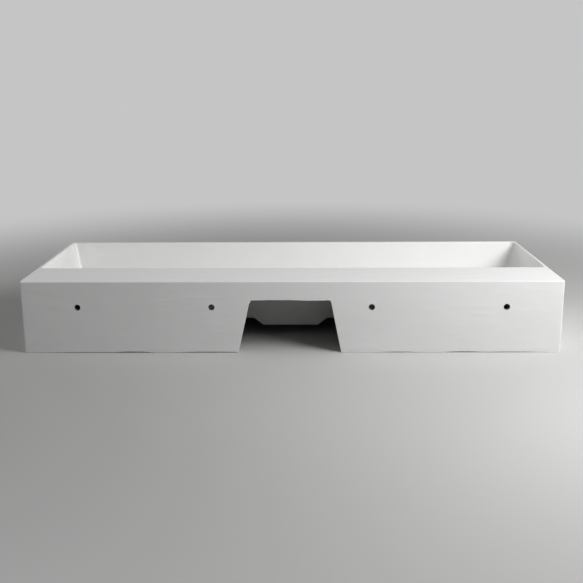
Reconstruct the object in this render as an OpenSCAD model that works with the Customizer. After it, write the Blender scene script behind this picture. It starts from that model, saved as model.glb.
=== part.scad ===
// Long wall-hung washbasin with a slotted push-open waste.
// The front faces -Y, the wall face is at +Y, and the foot stands on Z = 0.

/* [Basin] */
// Width over the sides at the rim
basin_w = 1200; // [900:10:1400]
// Depth from the wall face to the front
basin_d = 480; // [440:5:560]
// Height from the foot to the deck
basin_h = 163; // [155:1:190]
// Lean of the sides and the front, in degrees
side_draft = 0.4; // [0:0.1:1.5]
// Radius of the two upright edges at the front
front_corner_r = 7; // [4:0.5:12]
// Radius of the two upright edges at the wall
wall_corner_r = 3.5; // [2:0.5:6]
// Rounding of the edges around the top
top_edge_r = 3; // [1:0.5:3.5]
// Rounding of the edge where the bowl meets the rim
bowl_edge_r = 2.5; // [1:0.5:3]

/* [Walls] */
// Thickness of the skirt at the sides and the front
skirt_t = 12; // [10:0.5:16]
// Thickness of the wall face
back_t = 15; // [12:0.5:20]
// Thickness of the deck
deck_t = 14; // [11:0.5:18]
// Thickness of the bowl's walls
bowl_t = 12; // [10:0.5:15]
// Rounding inside the hollow, under the deck
hollow_r = 10; // [4:1:16]
// Thickness of the webs between the bowl and the wall face
web_t = 12; // [8:0.5:18]
// Distance of each web from the middle
web_x = 330; // [250:5:420]
// Height of the webs' lower edge
web_foot_z = 46; // [44:1:60]
// Radius of the arch that is cut from each web
web_arch_r = 45; // [20:1:50]

/* [Bowl] */
// Width of the rim at each side
rim_w = 9; // [8:0.5:14]
// Width of the rim at the front
front_rim_w = 9.5; // [8:0.5:14]
// Depth of the deck from the wall face to the bowl
deck_d = 147; // [130:1:170]
// Lean of the bowl's walls, in degrees
bowl_taper = 9.5; // [6:0.5:12]
// Radius of the bowl's upright corners at the rim
bowl_corner_r = 12; // [8:1:25]
// Radius of the bowl's upright corners at the floor
floor_corner_r = 24; // [14:1:30]
// Rounding between the bowl's walls and floor
floor_fillet_r = 28; // [15:1:35]
// Height of the floor around its edge
floor_edge_z = 58; // [56:0.5:64]
// Height of the floor at the waste
floor_waste_z = 53; // [52:0.5:55]
// Height of the underside of the bowl
bowl_under_z = 42; // [38:0.5:43]
// Rounding between the outside of the bowl's walls and its underside
under_fillet_r = 18; // [10:1:25]

/* [Boss and overflow duct] */
// Distance of the waste from the wall face
waste_from_wall = 300; // [280:5:320]
// Width of the boss at its flat underside
boss_w = 130; // [110:1:150]
// Width of the boss where it meets the bowl
boss_top_w = 168; // [155:1:190]
// Height of the boss's underside
boss_z = 25; // [24:0.5:27]
// Thickness of the bowl's rear wall where it holds the duct
duct_wall_t = 17; // [16:0.5:20]
// Width of the duct
duct_w = 60; // [50:1:80]
// Clear depth of the duct in the rear wall
duct_t = 6; // [5:0.5:7]
// Thickness of ceramic between the bowl and the duct
duct_skin_t = 5.5; // [5:0.5:6.5]
// Height of the duct's floor in the boss
duct_floor_z = 32; // [31:0.5:33]
// Clear height of the duct in the boss
duct_h = 9; // [7:0.5:9.5]
// Height of the duct's upper end
duct_top_z = 142; // [138:1:144]
// Height of the middle of the overflow hole
overflow_z = 124; // [115:1:126]
// Diameter of the overflow hole
overflow_d = 26; // [22:0.5:28]

/* [Wall face] */
// Diameter of the fixing holes
fixing_d = 13; // [10:0.5:16]
// Height of the fixing holes
fixing_z = 104.5; // [90:0.5:115]
// Distance between the two inner fixing holes
inner_fixing_gap = 355; // [300:5:400]
// Distance between the two outer fixing holes
outer_fixing_gap = 950; // [860:5:1000]
// Width of the pipe cut-out at the foot
cutout_w = 231; // [190:1:260]
// Width of the pipe cut-out at its top
cutout_top_w = 180; // [140:1:200]
// Height of the pipe cut-out
cutout_h = 119; // [100:1:125]
// Radius of the upper corners of the pipe cut-out
cutout_r = 4; // [1:0.5:12]

/* [Overflow ring] */
// Diameter of the ring's visible rim
ring_d = 34; // [32:0.5:40]
// Thickness of the ring's visible rim
ring_t = 2.4; // [1.5:0.1:3.5]
// Wall of the ring's sleeve
sleeve_t = 1.6; // [1.2:0.1:2]
// Clearance between the sleeve and the overflow hole
sleeve_gap = 0.2; // [0.1:0.05:0.4]
// How far the snap legs spread past the sleeve
leg_hook = 0.8; // [0.4:0.1:1.2]
// Number of snap legs
leg_count = 4; // [3:1:6]
// Share of the sleeve's edge that the slits between the legs take
leg_slit = 0.7; // [0.4:0.05:0.8]

/* [Waste] */
// Diameter of the waste hole
waste_hole_d = 46; // [45:0.5:50]
// Diameter of the recess for the flange
recess_d = 69; // [67:0.5:74]
// Depth of the upright edge of the recess
recess_h = 3.2; // [2.8:0.1:3.6]
// Slope of the recess and the flange towards the waste hole, in degrees
seat_angle = 18; // [14:0.5:22]
// Diameter of the waste flange
flange_d = 65; // [62:0.5:66]
// Thickness of the waste flange
flange_t = 2; // [1.6:0.1:2.4]
// Thickness of the rubber ring under the flange
flange_seal_t = 1.5; // [1.2:0.1:1.7]
// Outer diameter of the threaded tube
tube_d = 41.91; // [40.5:0.01:42.2]
// Wall of the tube
tube_t = 2.9; // [2.2:0.1:3.5]
// Length of the waste from its flange to its lower end
waste_len = 51; // [49:0.5:51]
// Width of each overflow slot in the tube
slot_w = 15; // [10:0.5:18]
// Number of overflow slots in the tube
slot_count = 4; // [2:1:4]
// Thickness of the arms of the cross
arm_t = 3; // [2:0.5:5]
// Height of the cross
cross_h = 6; // [5:0.5:7]
// Diameter of the hub in the cross
hub_d = 15; // [14:0.5:18]
// Depth of the groove between the two threads of the tube
groove_t = 0.5; // [0.3:0.1:0.8]
// Height of the groove between the two threads of the tube
groove_h = 1; // [0.6:0.1:1.4]

/* [Gasket, washer and nut] */
// Diameter of the tapered gasket
gasket_d = 62; // [56:1:70]
// Thickness of the tapered gasket below the boss
gasket_t = 5; // [4:0.5:6]
// How far the tapered gasket reaches into the waste hole
gasket_nose = 3; // [2:0.5:5]
// Clearance between the tube and the rings that slip over it
slip_gap = 0.25; // [0.1:0.05:0.4]
// Thickness of the plastic washer
washer_t = 1.6; // [1:0.1:2]
// Width of the nut across its flats
nut_flats = 54; // [50:1:60]
// Height of the nut
nut_h = 8.4; // [7:0.2:9]
// Clearance in the screwed joints
thread_gap = 0.06; // [0.04:0.01:0.1]

/* [Push-open mechanism] */
// Travel of the plug
plug_travel = 8; // [6:0.5:8.5]
// How far the top of the barrel's cap lies below the bowl's floor
barrel_drop = 7; // [6.8:0.1:7.4]
// Diameter of the barrel
barrel_d = 16; // [15.5:0.5:20]
// Diameter of the barrel's bore
barrel_bore = 11; // [10.5:0.1:11.4]
// Length of the barrel
barrel_len = 26; // [25:0.5:26.5]
// Thickness of the barrel's floor
barrel_floor_t = 2; // [1.5:0.1:2.5]
// Diameter of the barrel's threaded foot
stub_d = 8; // [7:0.5:9]
// Number of guide grooves in the barrel
key_count = 4; // [3:1:6]
// Width of the keys on the stem
key_w = 1.6; // [1.2:0.1:2]
// How far the keys reach into the grooves
key_h = 0.6; // [0.4:0.1:0.8]
// Thickness of the head of the barrel's cap
barrel_cap_t = 2; // [1.5:0.1:2.2]
// Length of the barrel cap's spigot
spigot_h = 2; // [1.5:0.1:2.5]
// Clearance between the sliding parts
run_gap = 0.06; // [0.04:0.01:0.1]
// Clearance between parts that meet end to end
end_gap = 0.3; // [0.2:0.05:0.4]
// Diameter of the stem
stem_d = 6; // [5:0.1:6.5]
// Thickness of the stem's collar
collar_t = 3; // [2:0.1:3.4]
// Diameter of the stem's pin, on which the rotor turns
pin_d = 4; // [3:0.1:4.6]
// Height of the rotor
rotor_h = 4; // [3:0.1:4.4]
// Number of teeth on the rotor
tooth_count = 8; // [4:1:12]
// Height of the rotor's teeth
tooth_h = 1; // [0.6:0.1:1.4]
// Diameter of the spring's wire
spring_wire = 0.7; // [0.5:0.05:0.8]
// Turns of the spring
spring_turns = 4.5; // [3:0.5:4.5]

/* [Plug] */
// Diameter of the plug
plug_d = 62; // [58:0.5:64]
// Thickness of the plug at its edge
plug_edge_t = 2; // [1.5:0.1:3]
// How much the top of the plug is domed
plug_dome_h = 2; // [1:0.1:4]
// Thickness of the plug's plate
plug_t = 1.8; // [1.4:0.1:1.8]
// Diameter of the boss under the plug
plug_boss_d = 12; // [10:0.5:14]
// Diameter of the stem's threaded tip
tip_d = 5; // [4:0.1:5.2]
// Length of the stem's threaded tip
tip_len = 4; // [3:0.5:4.5]
// Outer diameter of the plug's rubber ring
plug_seal_d = 54; // [50:0.5:56]
// Width of the plug's rubber ring
plug_seal_w = 5; // [3:0.5:5.5]

/* [Hidden] */
// Height of the thin slabs that shape a hull, and how far a cutter runs past a face
slab_t = 0.01;
past = 1;
// Facets of the corners inside hulls, and of plain round parts
hull_fn = 32;
round_fn = 96;

// Faces of the basin
wall_y = basin_d / 2;
front_y = -basin_d / 2;
hollow_wall_y = wall_y - back_t;
hollow_top_z = basin_h - deck_t;

// Bowl
bowl_x = basin_w / 2 - rim_w;
bowl_front_y = front_y + front_rim_w;
bowl_rear_y = wall_y - deck_d;
bowl_t_flat = bowl_t / cos(bowl_taper);
floor_levels = 6;

// Boss and duct
waste_y = wall_y - waste_from_wall;
duct_wall_flat = duct_wall_t / cos(bowl_taper);
duct_near_flat = duct_skin_t / cos(bowl_taper);
duct_far_flat = (duct_skin_t + duct_t) / cos(bowl_taper);
duct_ceiling_z = duct_floor_z + duct_h;

// Waste
seal_flat = flange_seal_t / cos(seat_angle);
flange_flat = flange_t / cos(seat_angle);
tail_z = floor_waste_z - waste_len;
tube_r = tube_d / 2;
throat_r = tube_r - tube_t;
washer_z = boss_z - gasket_t - washer_t;
nut_z = washer_z - nut_h;
slip_r = tube_r + slip_gap;

// Push-open mechanism
barrel_top_z = floor_waste_z - barrel_drop - barrel_cap_t;
cap_spigot_z = barrel_top_z - spigot_h;
barrel_z = barrel_top_z - barrel_len;
spring_seat_z = barrel_z + barrel_floor_t;
collar_top_z = cap_spigot_z - end_gap - plug_travel;
collar_z = collar_top_z - collar_t;
rotor_top_z = collar_z - end_gap;
rotor_z = rotor_top_z - rotor_h;
plunger_r = barrel_bore / 2 - run_gap;
plug_foot_z = barrel_top_z + barrel_cap_t + 2 * end_gap;
plug_low_z = floor_waste_z + end_gap;

// Height of the recess's slope at the radius r from the waste's axis
function seat_z(r) = floor_waste_z - recess_h - (recess_d / 2 - r) * tan(seat_angle);
// Inset of the bowl's wall at height z, measured inward from its edge at the rim
function wall_inset(z) = (basin_h - z) * tan(bowl_taper);
// Y of the bowl's rear face at height z
function rear_face_y(z) = bowl_rear_y - wall_inset(z);
// Inset and height along the rounding between a leaning wall and the floor, for a share from 0 to 1
function fillet_point(share, r, low_z) =
    let (angle = bowl_taper + (90 - bowl_taper) * share,
        middle = r * cos(bowl_taper) + wall_inset(low_z + r - r * sin(bowl_taper)))
    [middle - r * cos(angle), low_z + r - r * sin(angle)];
// Radius of the bowl's upright corners at height z
function corner_at(z, low_z) =
    bowl_corner_r + (floor_corner_r - bowl_corner_r) * (basin_h - z) / (basin_h - low_z);

// Four thin corner discs whose hull is a rounded rectangle, with its top at height z
module corners(z, half_w, low_y, high_y, low_r, high_r) {
    for (side = [-1, 1]) {
        translate([side * (half_w - low_r), low_y + low_r, z - slab_t])
            cylinder(h = slab_t, r = low_r, $fn = hull_fn);
        translate([side * (half_w - high_r), high_y - high_r, z - slab_t])
            cylinder(h = slab_t, r = high_r, $fn = hull_fn);
    }
}

// One level of the outside, drawn in from the rim's outline at the sides and the front
module outer_level(z, inset, wall_inset) {
    corners(z, basin_w / 2 - inset, front_y + inset, wall_y - wall_inset,
        front_corner_r, wall_corner_r);
}

module outer_form() {
    draft = tan(side_draft);
    hull() {
        outer_level(slab_t, basin_h * draft, 0);
        for (angle = [0:22.5:90]) {
            drop = top_edge_r * (1 - sin(angle));
            turn = top_edge_r * (1 - cos(angle));
            outer_level(basin_h - drop, drop * draft + turn, turn);
        }
    }
}

// The hollow inside the skirt, the wall face and the deck, before the bowl fills its part
module hollow_form() {
    draft = tan(side_draft);
    hull() {
        corners(slab_t - past, basin_w / 2 - skirt_t - (basin_h + past) * draft,
            front_y + skirt_t + (basin_h + past) * draft, hollow_wall_y,
            front_corner_r, front_corner_r);
        for (angle = [0:30:90]) {
            drop = hollow_r * (1 - sin(angle));
            turn = hollow_r * (1 - cos(angle));
            corners(hollow_top_z - drop,
                basin_w / 2 - skirt_t - (deck_t + drop) * draft - turn,
                front_y + skirt_t + (deck_t + drop) * draft + turn, hollow_wall_y - turn,
                front_corner_r, front_corner_r);
        }
    }
}

// One level of the bowl: inset is measured inward from the bowl's edge at the rim
module bowl_level(z, inset, r) {
    corners(z, bowl_x - inset, bowl_front_y + inset, bowl_rear_y - inset, r, r);
}

// The bowl with leaning walls and a rounded floor, grown outward by a wall thickness
module bowl_form(grow, low_z, fillet_r) {
    bowl_level(basin_h + past, -past * tan(bowl_taper) - grow, bowl_corner_r + grow);
    for (level = [0:floor_levels]) {
        point = fillet_point(level / floor_levels, fillet_r, low_z);
        bowl_level(point[1], point[0] - grow, corner_at(point[1], low_z));
    }
}

// What is cut away for the bowl: its floor falls from all sides to the waste
module bowl_space() {
    hull() {
        bowl_form(0, floor_edge_z, floor_fillet_r);
        translate([0, waste_y, floor_waste_z])
            cylinder(h = slab_t, d = recess_d + 2 * past, $fn = hull_fn);
    }
}

// The rounded edge between the bowl and the rim, as two bevels
module bowl_edge_space() {
    turn = bowl_edge_r * (1 - cos(45));
    hull() {
        bowl_level(basin_h + past, -bowl_edge_r, bowl_corner_r + bowl_edge_r);
        bowl_level(basin_h, -bowl_edge_r, bowl_corner_r + bowl_edge_r);
        bowl_level(basin_h - turn, -turn, bowl_corner_r + turn);
    }
    hull() {
        bowl_level(basin_h - turn, -turn, bowl_corner_r + turn);
        bowl_level(basin_h - bowl_edge_r, wall_inset(basin_h - bowl_edge_r), bowl_corner_r);
    }
}

// The outside of the bowl's walls and floor
module bowl_shell() {
    hull() bowl_form(bowl_t_flat, bowl_under_z, under_fillet_r);
}

// The boss under the floor, from the waste to the bowl's rear wall
module boss() {
    rear_y = rear_face_y(bowl_under_z) + duct_wall_flat;
    hull() {
        translate([0, waste_y, boss_z])
            cylinder(h = bowl_under_z - boss_z, d1 = boss_w, d2 = boss_top_w, $fn = 2 * hull_fn);
        translate([0, waste_y, bowl_under_z])
            cylinder(h = floor_edge_z - bowl_under_z, d = boss_top_w, $fn = 2 * hull_fn);
        translate([-boss_w / 2, rear_y - past - (bowl_under_z - boss_z) / 4, boss_z])
            cube([boss_w, past, slab_t]);
        translate([-boss_top_w / 2, rear_y - past, bowl_under_z])
            cube([boss_top_w, past, floor_edge_z - bowl_under_z]);
    }
}

// The thicker stretch of the bowl's rear wall that holds the duct
module duct_bulge() {
    width = boss_top_w;
    rotate([90, 0, 90]) translate([0, 0, -width / 2]) linear_extrude(width) polygon([
        [rear_face_y(bowl_under_z), bowl_under_z],
        [rear_face_y(bowl_under_z) + duct_wall_flat, bowl_under_z],
        [rear_face_y(hollow_top_z + past) + duct_wall_flat, hollow_top_z + past],
        [rear_face_y(hollow_top_z + past), hollow_top_z + past]]);
}

// The duct, seen from the side: down the rear wall and forward through the boss to the waste hole
module duct_space() {
    rotate([90, 0, 90]) translate([0, 0, -duct_w / 2]) linear_extrude(duct_w) polygon([
        [waste_y, duct_floor_z],
        [rear_face_y(duct_floor_z) + duct_far_flat, duct_floor_z],
        [rear_face_y(duct_top_z) + duct_far_flat, duct_top_z],
        [rear_face_y(duct_top_z) + duct_near_flat, duct_top_z],
        [rear_face_y(duct_ceiling_z) + duct_near_flat, duct_ceiling_z],
        [waste_y, duct_ceiling_z]]);
}

// Puts its children on the bowl's rear wall at the overflow, with +Z pointing out of the ceramic
module at_overflow() {
    translate([0, rear_face_y(overflow_z), overflow_z]) rotate([90 - bowl_taper, 0, 0]) children();
}

// A web between the bowl and the wall face, with an arch cut from its lower edge
module web(x) {
    arch_y = (rear_face_y(web_foot_z) + bowl_t_flat + hollow_wall_y) / 2;
    rotate([90, 0, 90]) translate([0, 0, x - web_t / 2]) linear_extrude(web_t) difference() {
        polygon([
            [rear_face_y(web_foot_z), web_foot_z],
            [rear_face_y(hollow_top_z), hollow_top_z + past],
            [hollow_wall_y + past, hollow_top_z + past],
            [hollow_wall_y + past, web_foot_z]]);
        translate([arch_y, web_foot_z]) circle(r = web_arch_r, $fn = round_fn);
    }
}

// Outline of the pipe cut-out, with rounded upper corners
module cutout_outline() {
    lean = atan2((cutout_w - cutout_top_w) / 2, cutout_h);
    reach = cutout_r * tan((90 - lean) / 2);
    steps = 6;
    corner = [for (step = [0:steps]) let (angle = lean + (90 - lean) * step / steps)
        [cutout_top_w / 2 - reach + cutout_r * cos(angle),
            cutout_h - cutout_r + cutout_r * sin(angle)]];
    polygon(concat(
        [[-cutout_w / 2 - past * tan(lean), -past], [cutout_w / 2 + past * tan(lean), -past]],
        corner,
        [for (step = [steps:-1:0]) [-corner[step][0], corner[step][1]]]));
}

module cutout_space() {
    translate([0, wall_y + past, 0]) rotate([90, 0, 0]) linear_extrude(back_t + 2 * past)
        cutout_outline();
}

module fixing_holes() {
    for (gap = [inner_fixing_gap, outer_fixing_gap]) {
        for (side = [-1, 1]) {
            translate([side * gap / 2, wall_y + past, fixing_z]) rotate([90, 0, 0])
                cylinder(h = back_t + 2 * past, d = fixing_d, $fn = round_fn);
        }
    }
}

module waste_hole() {
    translate([0, waste_y, boss_z - past])
        cylinder(h = floor_waste_z - boss_z + past, d = waste_hole_d, $fn = round_fn);
    translate([0, waste_y, floor_waste_z - recess_h])
        cylinder(h = recess_h + past, d = recess_d, $fn = round_fn);
    translate([0, waste_y, seat_z(waste_hole_d / 2 - past)])
        cylinder(h = seat_z(recess_d / 2) - seat_z(waste_hole_d / 2 - past),
            r1 = waste_hole_d / 2 - past, r2 = recess_d / 2, $fn = round_fn);
}

module basin() {
    color("white") difference() {
        outer_form();
        difference() {
            hollow_form();
            bowl_shell();
            boss();
            duct_bulge();
            for (side = [-1, 1]) {
                web(side * web_x);
            }
        }
        bowl_space();
        bowl_edge_space();
        duct_space();
        at_overflow() translate([0, 0, -duct_skin_t - duct_t / 2])
            cylinder(h = duct_skin_t + duct_t / 2 + past, d = overflow_d, $fn = round_fn);
        waste_hole();
        cutout_space();
        fixing_holes();
    }
}

// A rim and a sleeve, whose lower end is slit into legs that snap behind the ceramic
module overflow_ring() {
    sleeve_r = overflow_d / 2 - sleeve_gap;
    opening_r = sleeve_r - sleeve_t;
    hook_r = sleeve_r + leg_hook;
    hook_z = -duct_skin_t - end_gap;
    leg_h = duct_t / 2;
    round_r = ring_t / 2;
    slit_w = 2 * sleeve_r * sin(180 / leg_count) * leg_slit;
    color("silver") at_overflow() difference() {
        rotate_extrude($fn = round_fn) polygon([
            [opening_r, hook_z - leg_h],
            [sleeve_r - sleeve_t / 3, hook_z - leg_h],
            [hook_r, hook_z - leg_h / 3],
            [hook_r, hook_z],
            [sleeve_r, hook_z],
            [sleeve_r, 0],
            [ring_d / 2, 0],
            for (angle = [0:15:90]) [ring_d / 2 - round_r + round_r * cos(angle),
                ring_t - round_r + round_r * sin(angle)],
            [opening_r + round_r, ring_t],
            [opening_r, ring_t - round_r]]);
        for (slit = [0:leg_count - 1]) {
            rotate([0, 0, 360 * slit / leg_count])
                translate([0, -slit_w / 2, hook_z - leg_h - past])
                    cube([overflow_d, slit_w, leg_h + past + duct_skin_t / 2]);
        }
    }
}

// A ring about the waste's axis, from the radius r_in to r_out
module waste_ring(low_z, h, r_in, r_out) {
    translate([0, waste_y, low_z]) rotate_extrude($fn = round_fn) translate([r_in, 0])
        square([r_out - r_in, h]);
}

module flange_seal() {
    inner_r = waste_hole_d / 2 - past;
    outer_r = flange_d / 2 - past;
    color("dimgray") translate([0, waste_y, 0]) rotate_extrude($fn = round_fn) polygon([
        [inner_r, seat_z(inner_r)],
        [outer_r, seat_z(outer_r)],
        [outer_r, seat_z(outer_r) + seal_flat],
        [inner_r, seat_z(inner_r) + seal_flat]]);
}

// Profile of the waste: dished flange, throat, and a tube with two threads and a groove between
module waste_profile() {
    edge_r = flange_t / 2;
    edge_x = flange_d / 2 - edge_r;
    edge_z = seat_z(edge_x) + seal_flat + flange_flat / 2;
    neck_r = tube_r - groove_t;
    neck_z = duct_floor_z - past;
    bevel = tube_t / 4;
    dish_r = throat_r + tube_t / 2;
    dish_z = seat_z(dish_r) + seal_flat + flange_flat;
    polygon([
        [throat_r, tail_z],
        [tube_r - bevel, tail_z],
        [tube_r, tail_z + bevel],
        [tube_r, nut_z - groove_h],
        [neck_r, nut_z - groove_h],
        [neck_r, nut_z],
        [tube_r, nut_z],
        [tube_r, neck_z],
        [neck_r, neck_z],
        [neck_r, seat_z(neck_r) + seal_flat],
        for (angle = [seat_angle - 90:18:seat_angle + 90]) [edge_x + edge_r * cos(angle),
            edge_z + edge_r * sin(angle)],
        [dish_r, dish_z],
        for (angle = [90 + seat_angle:18:180]) [dish_r + (dish_r - throat_r) * cos(angle),
            dish_z + (dish_r - throat_r) * (sin(angle) - 1)],
        [throat_r, dish_z - (dish_r - throat_r)]]);
}

module waste_body() {
    slot_low_z = duct_floor_z + past / 2;
    color("silver") translate([0, waste_y, 0]) {
        difference() {
            rotate_extrude($fn = round_fn) waste_profile();
            for (slot = [0:slot_count - 1]) {
                rotate([0, 0, 90 + 360 * slot / slot_count])
                    translate([0, -slot_w / 2, slot_low_z])
                        cube([tube_d, slot_w, duct_h - past]);
            }
        }
        translate([0, 0, barrel_z - cross_h]) linear_extrude(cross_h) difference() {
            union() {
                circle(d = hub_d, $fn = round_fn);
                for (arm = [0:1]) {
                    rotate([0, 0, 45 + 90 * arm])
                        square([2 * throat_r + tube_t, arm_t], center = true);
                }
            }
            circle(d = stub_d + 2 * thread_gap, $fn = round_fn);
        }
    }
}

module tapered_gasket() {
    low_z = boss_z - gasket_t;
    edge_r = waste_hole_d / 2 - run_gap;
    nose_r = (edge_r + slip_r) / 2;
    color("dimgray") translate([0, waste_y, 0]) rotate_extrude($fn = round_fn) polygon([
        [slip_r, low_z],
        [gasket_d / 2, low_z],
        [gasket_d / 2, low_z + gasket_t / 3],
        [edge_r, boss_z],
        [nose_r, boss_z + gasket_nose],
        [slip_r, boss_z + gasket_nose]]);
}

module slip_washer() {
    color("white") waste_ring(washer_z, washer_t, slip_r, gasket_d / 2);
}

// A hexagonal nut with bevelled corners and a round face towards the washer
module back_nut() {
    face_h = nut_h / 6;
    corner_r = nut_flats / 2 / cos(30);
    bevel = corner_r - nut_flats / 2;
    color("goldenrod") translate([0, waste_y, nut_z]) difference() {
        union() {
            intersection() {
                cylinder(h = nut_h - face_h, r = corner_r, $fn = 6);
                rotate_extrude($fn = round_fn) polygon([
                    [0, 0],
                    [corner_r - bevel, 0],
                    [corner_r, bevel / 2],
                    [corner_r, nut_h],
                    [0, nut_h]]);
            }
            cylinder(h = nut_h, d = nut_flats, $fn = round_fn);
        }
        translate([0, 0, -past])
            cylinder(h = nut_h + 2 * past, r = tube_r + thread_gap, $fn = round_fn);
    }
}

module click_housing() {
    groove_h = cap_spigot_z - collar_z + 2 * end_gap;
    color("ivory") translate([0, waste_y, 0]) difference() {
        union() {
            translate([0, 0, barrel_z])
                cylinder(h = barrel_len, d = barrel_d, $fn = round_fn);
            translate([0, 0, barrel_z - cross_h])
                cylinder(h = cross_h, d = stub_d, $fn = round_fn);
        }
        translate([0, 0, spring_seat_z])
            cylinder(h = barrel_len, d = barrel_bore, $fn = round_fn);
        for (key = [0:key_count - 1]) {
            rotate([0, 0, 360 * key / key_count])
                translate([0, -key_w / 2 - end_gap, collar_z - end_gap])
                    cube([barrel_bore / 2 + key_h + end_gap, key_w + 2 * end_gap, groove_h]);
        }
    }
}

module click_housing_cap() {
    color("ivory") {
        waste_ring(barrel_top_z, barrel_cap_t, stem_d / 2 + run_gap, barrel_d / 2);
        waste_ring(cap_spigot_z, spigot_h + barrel_cap_t / 2, stem_d / 2 + run_gap,
            barrel_bore / 2 - run_gap);
    }
}

// The spring is one tube swept along a helix between the barrel's floor and the rotor
module click_spring() {
    steps_per_turn = 16;
    sides = 6;
    wire_r = spring_wire / 2;
    coil_r = barrel_bore / 2 - spring_wire - end_gap;
    low_z = spring_seat_z + wire_r + end_gap / 3;
    rise = rotor_z - end_gap / 3 - wire_r - low_z;
    rings = round(spring_turns * steps_per_turn);
    points = [for (ring = [0:rings], side = [0:sides - 1])
        let (turn = 360 * ring / steps_per_turn, angle = 360 * side / sides,
            r = coil_r + wire_r * cos(angle))
        [r * cos(turn), r * sin(turn), low_z + rise * ring / rings + wire_r * sin(angle)]];
    walls = [for (ring = [0:rings - 1], side = [0:sides - 1], half = [0, 1])
        let (a = ring * sides + side, b = ring * sides + (side + 1) % sides)
        half == 0 ? [a, a + sides, b] : [b, a + sides, b + sides]];
    first = [for (side = [1:sides - 2]) [0, side, side + 1]];
    last = [for (side = [1:sides - 2]) [rings * sides, rings * sides + side + 1,
        rings * sides + side]];
    color("gray") translate([0, waste_y, 0]) polyhedron(points, concat(walls, first, last));
}

// The rotor turns on the stem's pin, and its saw teeth face the stem's collar
module click_rotor() {
    outer_r = plunger_r - end_gap;
    inner_r = pin_d / 2 + run_gap;
    pitch = 360 / tooth_count;
    color("ivory") translate([0, waste_y, rotor_z]) difference() {
        cylinder(h = rotor_h, r = outer_r, $fn = round_fn);
        translate([0, 0, -past])
            cylinder(h = rotor_h + 2 * past, r = inner_r, $fn = round_fn);
        for (tooth = [0:tooth_count - 1]) {
            rotate([0, 0, tooth * pitch]) translate([0, 0, rotor_h]) rotate([90, 0, 90])
                linear_extrude(outer_r + past) polygon([
                    [0, past],
                    [0, -tooth_h],
                    [inner_r * sin(pitch), 0],
                    [inner_r * sin(pitch), past]]);
        }
    }
}

module plug_stem() {
    color("gold") translate([0, waste_y, 0]) {
        translate([0, 0, rotor_z + end_gap])
            cylinder(h = collar_z - rotor_z, d = pin_d, $fn = round_fn);
        translate([0, 0, collar_z])
            cylinder(h = collar_t, r = plunger_r, $fn = round_fn);
        for (key = [0:key_count - 1]) {
            rotate([0, 0, 360 * key / key_count]) translate([0, -key_w / 2, collar_z])
                cube([barrel_bore / 2 + key_h, key_w, collar_t]);
        }
        translate([0, 0, collar_z])
            cylinder(h = plug_foot_z - collar_z, d = stem_d, $fn = round_fn);
        translate([0, 0, plug_foot_z - past])
            cylinder(h = tip_len + past, d = tip_d, $fn = round_fn);
    }
}

// The plug: a domed plate with a rounded edge and a threaded boss below
module plug_cap() {
    r = plug_d / 2;
    round_r = plug_edge_t / 2;
    dome_steps = 8;
    dome_r = r - round_r;
    color("silver") translate([0, waste_y, 0]) difference() {
        union() {
            rotate_extrude($fn = round_fn) polygon([
                [0, plug_low_z],
                [r - round_r, plug_low_z],
                for (angle = [-75:15:75]) [r - round_r + round_r * cos(angle),
                    plug_low_z + round_r + round_r * sin(angle)],
                for (step = [0:dome_steps]) let (x = dome_r * (1 - step / dome_steps))
                    [x, plug_low_z + plug_edge_t + plug_dome_h * (1 - pow(x / dome_r, 2))]]);
            translate([0, 0, plug_foot_z])
                cylinder(h = plug_low_z - plug_foot_z + plug_t, d = plug_boss_d, $fn = round_fn);
        }
        translate([0, 0, plug_foot_z - past])
            cylinder(h = past + tip_len + end_gap, d = tip_d + 2 * thread_gap, $fn = round_fn);
    }
}

module plug_seal() {
    outer_r = plug_seal_d / 2;
    inner_r = outer_r - plug_seal_w;
    lift = seal_flat + flange_flat + end_gap / cos(seat_angle);
    color("dimgray") translate([0, waste_y, 0]) rotate_extrude($fn = round_fn) polygon([
        [inner_r, seat_z(inner_r) + lift],
        [outer_r, seat_z(outer_r) + lift],
        [outer_r, plug_low_z],
        [inner_r, plug_low_z]]);
}

basin();
overflow_ring();
flange_seal();
waste_body();
tapered_gasket();
slip_washer();
back_nut();
click_housing();
click_housing_cap();
click_spring();
click_rotor();
plug_stem();
plug_cap();
plug_seal();
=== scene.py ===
from math import cos, hypot, pi, radians, sin, tan

import bmesh
import bpy
import numpy as np
from mathutils import Matrix, Vector


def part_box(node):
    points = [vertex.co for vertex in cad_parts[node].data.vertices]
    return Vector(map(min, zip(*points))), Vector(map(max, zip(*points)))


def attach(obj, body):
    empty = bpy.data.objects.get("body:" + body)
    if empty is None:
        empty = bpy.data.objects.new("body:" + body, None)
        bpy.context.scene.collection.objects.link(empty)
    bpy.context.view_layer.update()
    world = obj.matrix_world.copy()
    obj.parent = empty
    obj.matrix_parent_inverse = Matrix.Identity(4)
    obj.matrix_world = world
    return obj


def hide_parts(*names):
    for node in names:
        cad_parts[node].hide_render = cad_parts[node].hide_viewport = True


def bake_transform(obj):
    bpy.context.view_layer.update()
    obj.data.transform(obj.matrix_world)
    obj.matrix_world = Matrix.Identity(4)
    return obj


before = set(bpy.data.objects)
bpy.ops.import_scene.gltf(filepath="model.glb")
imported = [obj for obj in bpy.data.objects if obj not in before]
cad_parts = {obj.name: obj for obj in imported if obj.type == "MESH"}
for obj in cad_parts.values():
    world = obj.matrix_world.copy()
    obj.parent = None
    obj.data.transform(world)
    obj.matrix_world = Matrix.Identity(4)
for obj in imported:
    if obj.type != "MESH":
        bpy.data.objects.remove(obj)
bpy.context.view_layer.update()        # the washbasin's own frame: the wall face at +Y, the foot on z = 0
mm = 0.001
print("frame loaded:", len(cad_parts), "nodes")


def addObject(name, data):
    made = bpy.data.objects.new(name, data)
    bpy.context.scene.collection.objects.link(made)
    return made


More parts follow.
